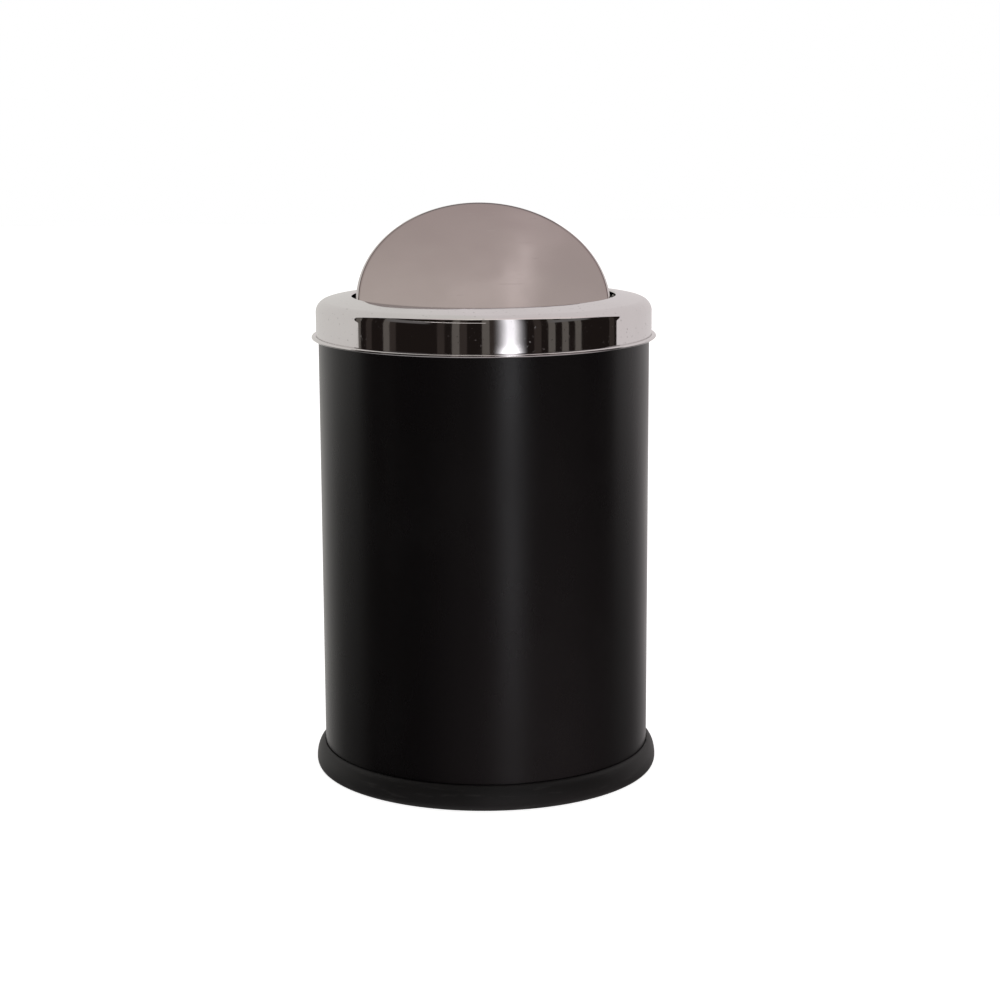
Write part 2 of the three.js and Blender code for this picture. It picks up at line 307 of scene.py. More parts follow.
def stands_for(obj, node, sharp=30):
    """Finishes a piece: smooth shading, its material, and its place in the frame."""
    obj.name = f"{node}_fine"
    for polygon in obj.data.polygons:
        polygon.use_smooth = True
    obj.data.set_sharp_from_angle(angle=math.radians(sharp))
    obj.data.materials.clear()
    obj.data.materials.append(FINISHES[SLOTS[node]])
    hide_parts(node)
    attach(obj, BODIES[node])
    return obj


# --- node trees ---------------------------------------------------------------------------------

class Tree:
    """Short calls that add nodes to a material's or a world's tree."""

    def __init__(self, tree):
        self.tree = tree

    def node(self, kind, inputs=(), **settings):
        made = self.tree.nodes.new(f"ShaderNode{kind}")
        for name, value in settings.items():
            setattr(made, name, value)
        for name, value in dict(inputs).items():
            self.put(made.inputs[name], value)
        return made

    def put(self, socket, value):
        if isinstance(value, bpy.types.NodeSocket):
            self.tree.links.new(value, socket)
        else:
            socket.default_value = value

    def math(self, operation, a, b=0.0, c=0.0):
        made = self.node("Math", {0: a, 1: b, 2: c}, operation=operation)
        return made.outputs[0]

    def fit(self, value, low, high, to_low=0.0, to_high=1.0, smooth=False):
        kind = "SMOOTHSTEP" if smooth else "LINEAR"
        limits = {"From Min": low, "From Max": high, "To Min": to_low, "To Max": to_high}
        made = self.node("MapRange", {"Value": value, **limits}, interpolation_type=kind)
        return made.outputs["Result"]

    def mix(self, factor, a, b, mode="MIX"):
        made = self.node("Mix", data_type="RGBA", blend_type=mode)
        self.put(made.inputs["Factor"], factor)
        self.put(made.inputs["A"], a)
        self.put(made.inputs["B"], b)
        return made.outputs["Result"]

    def ramp(self, value, stops, interpolation="LINEAR"):
        made = self.node("ValToRGB", {"Fac": value})
        elements = made.color_ramp.elements
        made.color_ramp.interpolation = interpolation
        while len(elements) < len(stops):
            elements.new(0.5)
        for element, (place, colour) in zip(elements, stops):
            element.position = place
        for element, (place, colour) in zip(elements, stops):
            element.color = (*colour, 1)
        return made.outputs["Color"]

    def noise(self, where, scale, detail=2.0, roughness=0.5, distortion=0.0):
        values = {"Vector": where, "Scale": scale, "Detail": detail, "Roughness": roughness}
        return self.node("TexNoise", {**values, "Distortion": distortion}).outputs["Fac"]

    def stretched(self, where, scale):
        return self.node("Mapping", {"Vector": where, "Scale": scale}).outputs["Vector"]

    def bump(self, height, strength, distance, normal=None):
        values = {"Height": height, "Strength": strength, "Distance": distance}
        made = self.node("Bump", values)
        if normal is not None:
            self.put(made.inputs["Normal"], normal)
        return made.outputs["Normal"]


class Finish(Tree):
    """A material with a Principled shader. values are set on the shader's own sockets."""

    def __init__(self, slot, values):
        self.material = bpy.data.materials.new(slot)
        self.material.use_nodes = True
        super().__init__(self.material.node_tree)
        self.shader = self.tree.nodes["Principled BSDF"]
        self.where = self.node("TexCoord").outputs["Object"]
        self.give(values)
        FINISHES[slot] = self.material

    def give(self, values):
        for name, value in values.items():
            self.put(self.shader.inputs[name], value)

    def around_axis(self, along, around):
        """Coordinates for marks that run round the bin's axis: fine across them, long along them."""
        parts = self.node("SeparateXYZ", {"Vector": self.where}).outputs
        flat = self.node("CombineXYZ", {"X": parts["X"], "Y": parts["Y"]}).outputs[0]
        radius = self.node("VectorMath", {0: flat}, operation="LENGTH").outputs["Value"]
        unit = self.node("VectorMath", {0: flat}, operation="NORMALIZE").outputs["Vector"]
        unit_parts = self.node("SeparateXYZ", {"Vector": unit}).outputs
        across = self.math("SUBTRACT", radius, parts["Z"])
        values = {
            "X": self.math("MULTIPLY", unit_parts["X"], around),
            "Y": self.math("MULTIPLY", unit_parts["Y"], around),
            "Z": self.math("MULTIPLY", across, along),
        }
        return self.node("CombineXYZ", values).outputs[0]


# --- finishes -----------------------------------------------------------------------------------

def powder_coat():
    """Satin black powder: orange peel, a few dull smudges and a little dust."""
    finish = Finish("powder_black", {"Metallic": 0.0, "IOR": 1.38})
    dust = finish.fit(finish.noise(finish.where, 9.0, 4.0, 0.65), 0.5, 0.85)
    specks = finish.fit(finish.noise(finish.where, 900.0, 1.0), 0.76, 0.83)
    colour = finish.mix(dust, (0.0042, 0.0035, 0.0037, 1), (0.0066, 0.0058, 0.0059, 1))
    colour = finish.mix(finish.math("MULTIPLY", specks, 0.3), colour, (0.03, 0.03, 0.03, 1))
    smudge = finish.noise(finish.stretched(finish.where, (1.0, 1.0, 0.45)), 14.0, 5.0, 0.6)
    peel = finish.noise(finish.where, 620.0, 2.0, 0.55)
    wave = finish.noise(finish.where, 22.0, 1.0)
    normal = finish.bump(peel, 0.18, 0.00010, finish.bump(wave, 0.10, 0.0005))
    roughness = finish.fit(smudge, 0.3, 0.75, 0.24, 0.32)
    finish.give({"Base Color": colour, "Roughness": roughness, "Normal": normal})


def moulded_plastic():
    """Matte black moulding: fine spark texture, pale scuffs in thin level streaks all over it."""
    finish = Finish("moulded_black", {"Metallic": 0.0, "IOR": 1.4})
    grain = finish.noise(finish.where, 1500.0, 2.0, 0.6)
    scuff_field = finish.noise(finish.stretched(finish.where, (30.0, 30.0, 300.0)), 1.0, 6.0, 0.7)
    scuff = finish.fit(scuff_field, 0.57, 0.72)
    colour = finish.mix(scuff, (0.0085, 0.0078, 0.0078, 1), (0.036, 0.034, 0.033, 1))
    blotch = finish.fit(finish.noise(finish.where, 25.0, 3.0), 0.35, 0.7)
    colour = finish.mix(finish.math("MULTIPLY", blotch, 0.3), colour, (0.016, 0.015, 0.015, 1))
    roughness = finish.fit(scuff, 0.0, 1.0, 0.50, 0.64)
    normal = finish.bump(grain, 0.35, 0.00009, finish.bump(scuff, 0.15, 0.0001))
    finish.give({"Base Color": colour, "Roughness": roughness, "Normal": normal})


def chromed_collar():
    """Mirror polish over spun steel: faint rings from the polishing wheel, smudges and tiny pits."""
    finish = Finish("collar_chrome", {"Metallic": 1.0})
    rings = finish.noise(finish.around_axis(2600.0, 2.5), 1.0, 3.0, 0.6)
    smudge = finish.fit(finish.noise(finish.where, 28.0, 5.0, 0.62), 0.42, 0.74)
    pits = finish.fit(finish.noise(finish.where, 520.0, 0.0), 0.77, 0.80)
    colour = finish.mix(smudge, (0.80, 0.775, 0.775, 1), (0.77, 0.742, 0.742, 1))
    colour = finish.mix(finish.math("MULTIPLY", pits, 0.35), colour, (0.42, 0.40, 0.39, 1))
    roughness = finish.math("ADD", finish.fit(smudge, 0, 1, 0.035, 0.085), finish.fit(pits, 0, 1, 0, 0.2))
    wave = finish.noise(finish.around_axis(55.0, 6.0), 1.0, 1.0)
    normal = finish.bump(rings, 0.05, 0.00003, finish.bump(wave, 0.10, 0.00025))
    finish.give({"Base Color": colour, "Roughness": roughness, "Normal": normal})


def flap_steel():
    """Polished stainless sheet: soft haze, thin scratches in several directions, and a painted highlight on
    the turned-down rim.
    """
    finish = Finish("flap_steel", {"Metallic": 1.0})
    scratches = None
    for turn, threshold in ((12, 0.735), (71, 0.75), (-38, 0.745)):
        rotation = (0.3, 0.2, math.radians(turn))
        values = {"Vector": finish.where, "Rotation": rotation, "Scale": (26, 1500, 1500)}
        field = finish.noise(finish.node("Mapping", values).outputs["Vector"], 1.0, 2.0, 0.5)
        line = finish.fit(field, threshold, threshold + 0.05)
        scratches = line if scratches is None else finish.math("MAXIMUM", scratches, line)
    haze = finish.fit(finish.noise(finish.where, 17.0, 4.0, 0.6), 0.35, 0.75)
    colour = finish.mix(haze, (0.395, 0.345, 0.340, 1), (0.375, 0.330, 0.322, 1))
    colour = finish.mix(finish.math("MULTIPLY", scratches, 0.3), colour, (0.56, 0.52, 0.51, 1))
    # Painted highlight: beyond the groove the rim's colour is made much lighter, standing in for the bright
    # line of light along its edge.
    pivot = finish.node("VectorMath", {0: finish.where, 1: (0, 0, PIVOT_Z * MM)}, operation="DISTANCE")
    painted_rim_highlight = finish.fit(pivot.outputs["Value"], FLAP_GROOVE * MM, (FLAP_GROOVE + 0.6) * MM)
    colour = finish.mix(painted_rim_highlight, colour, (0.76, 0.72, 0.71, 1))
    roughness = finish.fit(haze, 0, 1, 0.045, 0.08)
    wave = finish.noise(finish.where, 13.0, 2.0)
    normal = finish.bump(scratches, 0.10, 0.00005, finish.bump(wave, 0.15, 0.0012))
    finish.give({"Base Color": colour, "Roughness": roughness, "Normal": normal})


def galvanised_sheet():
    """Hot-dip zinc: spangle crystals of differing grey and gloss, with dull patches."""
    finish = Finish("galvanised", {"Metallic": 0.85})
    bent = finish.node("VectorMath", {0: finish.where, 1: (0, 0, 0)}, operation="ADD")
    warp = finish.node("TexNoise", {"Vector": finish.where, "Scale": 60.0, "Detail": 2.0})
    shift = finish.node("VectorMath", {0: warp.outputs["Color"], 3: 0.006}, operation="SCALE")
    finish.put(bent.inputs[1], shift.outputs[0])
    cells = finish.node("TexVoronoi", {"Vector": bent.outputs[0], "Scale": 95.0})
    tone = finish.node("SeparateColor", {"Color": cells.outputs["Color"]}).outputs
    feather = finish.noise(finish.stretched(finish.where, (500.0, 500.0, 90.0)), 1.0, 3.0, 0.6)
    grey = finish.math("ADD", finish.math("MULTIPLY", tone[0], 0.7), finish.math("MULTIPLY", feather, 0.3))
    greys = [(0.1, (0.30, 0.32, 0.335)), (0.5, (0.42, 0.44, 0.455)), (0.9, (0.55, 0.57, 0.58))]
    colour = finish.ramp(grey, greys)
    dull = finish.fit(finish.noise(finish.where, 12.0, 4.0), 0.52, 0.72)
    colour = finish.mix(finish.math("MULTIPLY", dull, 0.5), colour, (0.46, 0.47, 0.465, 1))
    gloss = finish.fit(tone[1], 0, 1, 0.30, 0.48)
    roughness = finish.math("ADD", gloss, finish.math("MULTIPLY", dull, 0.15))
    normal = finish.bump(feather, 0.12, 0.0001, finish.bump(tone[2], 0.08, 0.0003))
    finish.give({"Base Color": colour, "Roughness": roughness, "Normal": normal})


def plated_steel():
    """Bright zinc plate on drawn wire and small stampings, with faint draw lines."""
    finish = Finish("plain_steel", {"Metallic": 1.0})
    lines = finish.noise(finish.stretched(finish.where, (60.0, 2200.0, 2200.0)), 1.0, 2.0, 0.5)
    cloud = finish.noise(finish.where, 160.0, 3.0, 0.6)
    zincs = [(0.3, (0.42, 0.42, 0.43)), (0.55, (0.52, 0.52, 0.525)), (0.75, (0.60, 0.595, 0.57))]
    colour = finish.ramp(cloud, zincs)
    roughness = finish.fit(finish.math("ADD", cloud, lines), 0.6, 1.4, 0.20, 0.38)
    finish.give({"Base Color": colour, "Roughness": roughness, "Normal": finish.bump(lines, 0.15, 0.00004)})


def nylon():
    """Uncoloured nylon: waxy off-white with a slight bloom and fine moulded grain."""
    finish = Finish("nylon_natural", {"Metallic": 0.0, "IOR": 1.53, "Subsurface Weight": 0.1})
    bloom = finish.fit(finish.noise(finish.where, 240.0, 3.0), 0.4, 0.75)
    colour = finish.mix(bloom, (0.60, 0.57, 0.50, 1), (0.66, 0.64, 0.58, 1))
    grain = finish.noise(finish.where, 2600.0, 2.0)
    roughness = finish.fit(bloom, 0, 1, 0.38, 0.55)
    finish.give({"Base Color": colour, "Roughness": roughness, "Normal": finish.bump(grain, 0.3, 0.00005)})


# --- shell, foot and pan ------------------------------------------------------------------------

def seam_angles():
    """Angles round the shell: even, with a fine stretch over the seam at the back."""
    half = (SEAM["half_width"] + 3 * SEAM["edge"]) / SHELL_RADIUS
    fine = spread(math.pi / 2 - half, math.pi / 2 + half, 26)
    coarse = spread(math.pi / 2 + half, math.pi / 2 - half + 2 * math.pi, 240)
    return fine + coarse[1:-1]


def weld_heights():
    return [WELD["first"] + WELD["pitch"] * i for i in range(WELD["count"])]


def seam_offset(angle, radius, height):
    """The lap seam stands proud of the wall and is dimpled by its row of spot welds."""
    if radius < SHELL_RADIUS - 0.01:
        return 0.0
    across = abs((angle - math.pi / 2) * SHELL_RADIUS)
    beyond = max(across - SEAM["half_width"], SEAM["bottom"] - height, height - SEAM["top"], 0.0)
    proud = SEAM["proud"] * max(0.0, 1.0 - beyond / SEAM["edge"])
    for weld in weld_heights():
        proud -= bump_on(math.hypot(across, height - weld), 0.0, WELD["radius"], WELD["depth"])
    return proud


def body_shell():
    curl_r, curl_z = SHELL_RADIUS - SHELL_CURL, top("body_shell") - SHELL_CURL
    edge = SEAM["edge"]
    rows = [SEAM["bottom"] - edge, SEAM["bottom"], SEAM["top"], SEAM["top"] + edge]
    for weld in weld_heights():
        rows += [weld + WELD["radius"] * k / 3 for k in range(-3, 4)]
    outline = [(SHELL_INNER, bottom("body_shell") + 0.3), (SHELL_INNER + 0.3, bottom("body_shell"))]
    outline += [(SHELL_RADIUS - 0.3, bottom("body_shell")), (SHELL_RADIUS, bottom("body_shell") + 0.3)]
    outline += [(SHELL_RADIUS, z) for z in sorted(rows)]
    outline += arc(curl_r, curl_z, SHELL_CURL, 0, 270, 24)
    outline += [(SHELL_INNER, curl_z - SHELL_CURL)]
    outline += [(SHELL_INNER, z) for z in (300, 240, 180, 120, 60)]
    shell = mesh_object("shell", turned(outline, seam_angles(), seam_offset))
    stands_for(shell, "body_shell", 40)


def screw_places():
    places = []
    for i in range(4):
        angle = math.radians(45 + 90 * i)
        spot = (SCREW["circle"] * math.cos(angle), SCREW["circle"] * math.sin(angle), 0)
        places.append(Matrix.Translation(spot))
    return places


def foot_ring():
    """Turned moulding with a groove for the shell, grip rings underneath and screw counterbores."""
    bulge = FOOT_RADIUS - GROOVE_OUTER
    toe = FOOT_RADIUS - FOOT_FLAT
    groove_inner = SHELL_INNER - SEAT
    outline = [(FOOT_INNER, 0.4), (FOOT_INNER + 0.4, 0)]
    for ring in (120.2, 122.8, 125.4):
        outline += [(ring - 0.7, 0), (ring - 0.4, 0.5), (ring + 0.4, 0.5), (ring + 0.7, 0)]
    outline += arc(FOOT_FLAT, FOOT_WIDEST, toe, 270, 358, 14, FOOT_WIDEST)
    outline += arc(GROOVE_OUTER, FOOT_WIDEST, bulge, 2, 86, 26, FOOT_TOP - FOOT_WIDEST)
    outline += [(GROOVE_OUTER + 0.15, FOOT_TOP), (GROOVE_OUTER, FOOT_TOP - 0.15)]
    outline += [(GROOVE_OUTER, GROOVE_FLOOR), (groove_inner, GROOVE_FLOOR)]
    outline += [(groove_inner, FOOT_LEDGE - 0.3), (groove_inner - 0.3, FOOT_LEDGE)]
    outline += [(FOOT_INNER + 0.4, FOOT_LEDGE), (FOOT_INNER, FOOT_LEDGE - 0.4)]
    ring = mesh_object("foot", turned(outline, 288))
    tools = []
    for place in screw_places():
        tools.append((rod_shape(SCREW["head"] + SEAT, -1, SCREW["recess"]), place))
        tools.append((rod_shape(SCREW["shank"] + SEAT, 1, FOOT_LEDGE + 1), place))
    cut(ring, tools)
    stands_for(ring, "foot_ring", 35)


def base_pan():
    """Pressed floor with two stiffening ribs and an upturned flange."""
    def rib(r):
        return bump_on(r, 88, 6, 2.0) + bump_on(r, 48, 6, 2.0)

    radii = [0, 20, 36] + spread(41, 55, 14) + [70] + spread(81, 95, 14) + [106, 112]
    outline = [(r, PAN_BOTTOM + rib(r)) for r in radii]
    outline += arc(PAN_RADIUS - 1.6, PAN_BOTTOM + 1.6, 1.6, 270, 360, 6)
    outline += [(PAN_RADIUS, PAN_TOP - 0.3), (PAN_RADIUS - 0.3, PAN_TOP)]
    outline += [(PAN_RADIUS - SHEET + 0.3, PAN_TOP), (PAN_RADIUS - SHEET, PAN_TOP - 0.3)]
    outline += arc(PAN_RADIUS - 1.6, PAN_BOTTOM + 1.6, 0.6, 360, 270, 4)
    outline += [(r, PAN_BOTTOM + SHEET + rib(r)) for r in reversed(radii)]
    pan = mesh_object("pan", turned(outline, 192))
    cut(pan, [(rod_shape(SCREW["shank"] + SEAT, PAN_BOTTOM - 1, PAN_BOTTOM + 3), p) for p in screw_places()])
    stands_for(pan, "base_pan", 35)


def foot_screws():
    """Pan-head self-tapping screws, driven up from below, with a cross recess and a real thread."""
    head_top = SCREW["recess"] - SEAT
    head_bottom = head_top - SCREW["head_height"]
    tip = top("foot_screw_1")

    def thread(angle, radius, height):
        if not head_top + 0.2 < height < tip - 0.4 or radius < 1.0:
            return 0.0
        turn = math.cos(angle - 2 * math.pi * height / SCREW["pitch"])
        return 0.24 * max(0.0, turn) ** 3

    outline = [(0, head_bottom), (SCREW["head"] - 1.6, head_bottom)]
    outline += arc(SCREW["head"] - 1.2, head_bottom + 1.2, 1.2, 285, 360, 8)
    outline += [(SCREW["head"], head_top), (SCREW["shank"], head_top)]
    outline += [(SCREW["shank"], z) for z in spread(head_top + 0.2, tip - 1.8, 42)]
    outline += [(1.0, tip - 0.4), (0.5, tip), (0, tip)]
    arm = extruded([(-1.9, -0.32), (1.9, -0.32), (1.9, 0.32), (-1.9, 0.32)], 1.7)
    for i, place in enumerate(screw_places(), 1):
        screw = mesh_object("screw", turned(outline, 32, thread), place)
        start = place @ Matrix.Translation((0, 0, head_bottom - 0.5))
        turns = (20 + 25 * i, 110 + 25 * i)
        cut(screw, [(arm, start @ Matrix.Rotation(math.radians(turn), 4, "Z")) for turn in turns])
        stands_for(screw, f"foot_screw_{i}", 40)


# --- collar and flap ----------------------------------------------------------------------------

def collar_outline():
    """Spun from one sheet: rolled bead with a crease above it, wall, shoulder, top, lip and throat."""
    inner = COLLAR_RADIUS - COLLAR_SHEET
    bead_r = inner + BEAD["depth"]
    crease_r = COLLAR_RADIUS + 0.15
    shoulder_r = COLLAR_RADIUS - COLLAR_SHOULDER
    turn = 90 - TOP_SLOPE
    slope = math.radians(TOP_SLOPE)
    lip_r = THROAT_RADIUS + THROAT_LIP
    edge_r = lip_r + THROAT_LIP * math.cos(math.radians(turn))
    shoulder_edge = arc(shoulder_r, COLLAR_WALL_TOP, COLLAR_SHOULDER, turn, turn, 1)[0]
    edge_z = shoulder_edge[1] + (shoulder_edge[0] - edge_r) * math.tan(slope)
    lip_z = edge_z - THROAT_LIP * math.sin(math.radians(turn))
    outline = arc(bead_r, BEAD["z"], BEAD["depth"], 180, 482, 36, BEAD["half_height"])
    outline += [(crease_r, BEAD["z"] + 0.4), (COLLAR_RADIUS, BEAD["z"] + 0.4)]
    outline += arc(shoulder_r, COLLAR_WALL_TOP, COLLAR_SHOULDER, 0, turn, 22)
    outline += arc(lip_r, lip_z, THROAT_LIP, turn, 180, 10)
    outline += arc(THROAT_RADIUS + 0.4, THROAT_BOTTOM + 0.4, 0.4, 180, 360, 6)
    outline += arc(lip_r, lip_z, THROAT_LIP - COLLAR_SHEET, 180, turn, 5)
    outline += arc(shoulder_r, COLLAR_WALL_TOP, COLLAR_SHOULDER - COLLAR_SHEET, turn, 0, 14)
    return outline


def lid_collar():
    collar = mesh_object("collar", turned(collar_outline(), 360))
    reach_x = THROAT_RADIUS + 5
    pivot = Matrix.Translation((0, 0, PIVOT_Z)) @ ALONG_X
    cut(collar, [(rod_shape(BUSH["body"] + SEAT, -reach_x, reach_x, 48), pivot)])
    stands_for(collar, "lid_collar", 40)


def pivot_bushes():
    bore = ROD_RADIUS + RUNNING_CLEARANCE
    flange_end = BUSH["start"] + BUSH["flange_sheet"]
    outline = [(bore, BUSH["start"] + 0.2), (bore + 0.2, BUSH["start"])]
    outline += arc(BUSH["flange"] - 0.35, BUSH["start"] + 0.35, 0.35, 270, 360, 5)
    outline += [(BUSH["flange"], flange_end), (BUSH["body"], flange_end)]
    outline += [(BUSH["body"], BUSH["end"] - 0.3), (BUSH["body"] - 0.3, BUSH["end"]), (bore, BUSH["end"])]
    for word, side in SIDES.items():
        place = side @ Matrix.Translation((0, 0, PIVOT_Z)) @ ALONG_X
        stands_for(mesh_object("bush", turned(outline, 48), place), f"pivot_bush_{word}", 40)


def flap_plate():
    """Flat polished disc, grooved and turned down at its edge, notched where the rod passes."""
    bend_r, bend_z = FLAP_RADIUS - FLAP_BEND, FLAP_TOP - FLAP_BEND
    outline = [(0, FLAP_UNDERSIDE), (60, FLAP_UNDERSIDE)]
    outline += arc(bend_r, bend_z, FLAP_BEND - SHEET, 90, 0, 14)
    outline += [(FLAP_RADIUS - SHEET, FLAP_SKIRT + 0.2), (FLAP_RADIUS - SHEET + 0.2, FLAP_SKIRT)]
    outline += [(FLAP_RADIUS - 0.2, FLAP_SKIRT), (FLAP_RADIUS, FLAP_SKIRT + 0.2)]
    outline += arc(bend_r, bend_z, FLAP_BEND, 0, 68, 16)
    groove_top = bend_z + FLAP_BEND * math.sin(math.radians(74))
    outline += [(FLAP_GROOVE + 0.3, groove_top - 0.1), (FLAP_GROOVE, groove_top - 0.6)]
    outline += [(FLAP_GROOVE - 0.3, groove_top), (bend_r - 0.2, FLAP_TOP)]
    outline += [(r, FLAP_TOP) for r in (bend_r - 0.7, bend_r - 1.4, 60, 0)]
    plate = mesh_object("plate", turned(outline, 320), FLAP_PLACE)
    reach_x = FLAP_RADIUS + 5
    cut(plate, [(rod_shape(ROD_RADIUS + SEAT, -reach_x, reach_x, 40), FLAP_PLACE @ ALONG_X)])
    stands_for(plate, "flap_plate", 40)


def pivot_rod():
    """Drawn rod with rounded ends and a shallow groove for each push-on cap."""
    half = [(0, ROD_END), (ROD_RADIUS - 0.6, ROD_END)]
    half += [(ROD_RADIUS, ROD_END - 0.6), (ROD_RADIUS, ROD_END - 1.2), (ROD_RADIUS - 0.25, ROD_END - 1.4)]
    half += [(ROD_RADIUS - 0.25, ROD_END - 1.8), (ROD_RADIUS, ROD_END - 2.0), (ROD_RADIUS, 60)]
    outline = [(r, -z) for r, z in half] + [(r, z) for r, z in reversed(half)]
    stands_for(mesh_object("rod", turned(outline, 40), FLAP_PLACE @ ALONG_X), "pivot_rod", 35)


def rod_saddles():
    """Straps with two feet welded under the plate and a loop round the rod."""
    foot_top = FLAP_UNDERSIDE - SEAT
    foot_bottom = foot_top - SADDLE["sheet"]
    inner = ROD_RADIUS + SEAT
    outer = inner + SADDLE["sheet"]
    wide = SADDLE["half_width"]
    outline = [(-wide, foot_bottom), (-outer - 0.8, foot_bottom)]
    outline += arc(0, 0, outer, 182, 358, 22)
    outline += [(outer + 0.8, foot_bottom), (wide, foot_bottom), (wide, foot_top), (inner + 0.3, foot_top)]
    outline += arc(0, 0, inner, 352, 188, 20)
    outline += [(-inner - 0.3, foot_top), (-wide, foot_top)]
    upright = Matrix.Rotation(math.radians(90), 4, "Z") @ Matrix.Rotation(math.radians(90), 4, "X")
    dimple = turned([(0, -0.6)] + arc(0, 0.3, 1.5, 280, 360, 8)[1:] + [(0, 0.3)], 24)
    for word in ("left", "centre", "right"):
        node = f"rod_saddle_{word}"
        centre = (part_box(node)[0].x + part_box(node)[1].x) / 2 / MM
        place = FLAP_PLACE @ Matrix.Translation((centre - SADDLE["length"] / 2, 0, 0)) @ upright
        saddle = mesh_object("saddle", extruded(outline, SADDLE["length"]), place)
        bevelled(saddle, 0.25, 2, 50)
        welds = []
        for side in (-1, 1):
            for along in (-5.0, 5.0):
                spot = Matrix.Translation((centre + along, side * 7.4, foot_bottom))
                welds.append((dimple, FLAP_PLACE @ spot))
        cut(saddle, welds)
        stands_for(saddle, node, 40)


def rod_caps():
    """Push-on domed caps over the rod's ends."""
    bore = ROD_RADIUS + SEAT
    floor = ROD_END + SEAT
    wide = CAP["radius"]
    outline = [(0, floor), (bore, floor), (bore, CAP["start"] + 0.15), (bore + 0.15, CAP["start"])]
    outline += [(wide - 0.3, CAP["start"]), (wide, CAP["start"] + 0.3), (wide, floor - 0.6)]
    outline += arc(0, floor - 0.6, wide, 8, 82, 14, CAP["end"] - floor + 0.6)
    outline += [(0, CAP["end"])]
    for word, side in SIDES.items():
        place = FLAP_PLACE @ side @ ALONG_X
        stands_for(mesh_object("cap", turned(outline, 40), place), f"rod_cap_{word}", 40)


# --- inner pail ---------------------------------------------------------------------------------

def pail_radius(z):
    """Outer radius of the tapered wall, with two swaged beads."""
    curl_start = PAIL_TOP - PAIL_CURL
    share = (z - PAIL_BOTTOM) / (curl_start - PAIL_BOTTOM)
    taper = PAIL_FOOT_RADIUS + (PAIL_TOP_RADIUS - PAIL_FOOT_RADIUS) * share
    return taper + bump_on(z, 96, 5, 1.4) + bump_on(z, 226, 5, 1.4)


def pail_seam(angle, radius, height):
    """A folded lock seam up the back of the wall."""
    across = abs((angle - math.pi / 2) * radius)
    if height > PAIL_TOP - 8 or height < PAIL_BOTTOM + 4:
        return 0.0
    return 0.7 * min(1.0, max(0.0, (3.6 - across) / 0.6))


def liner_wall():
    heights = [PAIL_BOTTOM, PAIL_BOTTOM + 3.9, PAIL_BOTTOM + 4.5] + spread(50, 90, 2)
    heights += spread(91, 101, 10) + spread(130, 220, 3) + spread(221, 231, 10) + [270, 300, 321.4, 322.0]
    outline = [(pail_radius(z), z) for z in heights]
    outline += arc(PAIL_TOP_RADIUS - SHEET + PAIL_CURL, PAIL_TOP, PAIL_CURL, 240, 540, 28)
    outline += [(pail_radius(z) - SHEET, z) for z in reversed(heights)]
    half = 5.4 / PAIL_FOOT_RADIUS
    fine = spread(math.pi / 2 - half, math.pi / 2 + half, 18)
    coarse = spread(math.pi / 2 + half, math.pi / 2 - half + 2 * math.pi, 216)
    wall = mesh_object("wall", turned(outline, fine + coarse[1:-1], pail_seam))
    tools = []
    for side in SIDES.values():
        for y in (-RIVET["y"], RIVET["y"]):
            place = side @ Matrix.Translation((0, y, RIVET["z"])) @ ALONG_X
            tools.append((rod_shape(RIVET["shank"] + SEAT, EAR["outer"] - 5, RIVET["end"] + 2, 24), place))
    cut(wall, tools)
    stands_for(wall, "liner_wall", 35)


def liner_base():
    """Pressed bottom with a downturned flange and one swaged ring."""
    outer = reach("liner_base")
    low, high = bottom("liner_base"), top("liner_base")

    def rib(r):
        return bump_on(r, 66, 5, 1.5)

    radii = [0, 30] + spread(60, 72, 12) + [90]
    outline = [(r, high - SHEET + rib(r)) for r in radii]
    outline += arc(outer - 2.2, high - 2.2, 1.2, 90, 0, 5)
    outline += [(outer - SHEET, low + 0.2), (outer - SHEET + 0.2, low)]
    outline += [(outer - 0.2, low), (outer, low + 0.2)]
    outline += arc(outer - 2.2, high - 2.2, 2.2, 0, 90, 7)
    outline += [(r, high + rib(r)) for r in reversed(radii)]
    stands_for(mesh_object("base", turned(outline, 192)), "liner_base", 35)


def bail_ears():
    """Stamped ears with a round head and a hole for the bail's turned-in end."""
    wide, head = EAR["half_width"], EAR["head"]
    outline = arc(-wide + 1.5, EAR["bottom"] + 1.5, 1.5, 180, 270, 6)
    outline += arc(wide - 1.5, EAR["bottom"] + 1.5, 1.5, 270, 360, 6)
    outline += [(wide, RIVET["z"] + 5)]
    outline += arc(0, BAIL["z"], head, 0, 180, 28)
    outline += [(-wide, RIVET["z"] + 5)]
    upright = Matrix.Rotation(math.radians(90), 4, "Z") @ Matrix.Rotation(math.radians(90), 4, "X")
    for word, side in SIDES.items():
        place = side @ Matrix.Translation((EAR["outer"] - EAR["sheet"], 0, 0)) @ upright
        ear = mesh_object("ear", extruded(outline, EAR["sheet"]), place)
        bevelled(ear, 0.25, 3, 50)
        reach_x = (EAR["outer"] - 4, EAR["outer"] + 4)
        pivot = side @ Matrix.Translation((0, 0, BAIL["z"])) @ ALONG_X
        tools = [(rod_shape(BAIL["wire"] + 0.12, *reach_x, 48), pivot)]
        for y in (-RIVET["y"], RIVET["y"]):
            spot = side @ Matrix.Translation((0, y, RIVET["z"])) @ ALONG_X
            tools.append((rod_shape(RIVET["shank"] + SEAT, *reach_x, 24), spot))
        cut(ear, tools)
        stands_for(ear, f"bail_ear_{word}", 40)


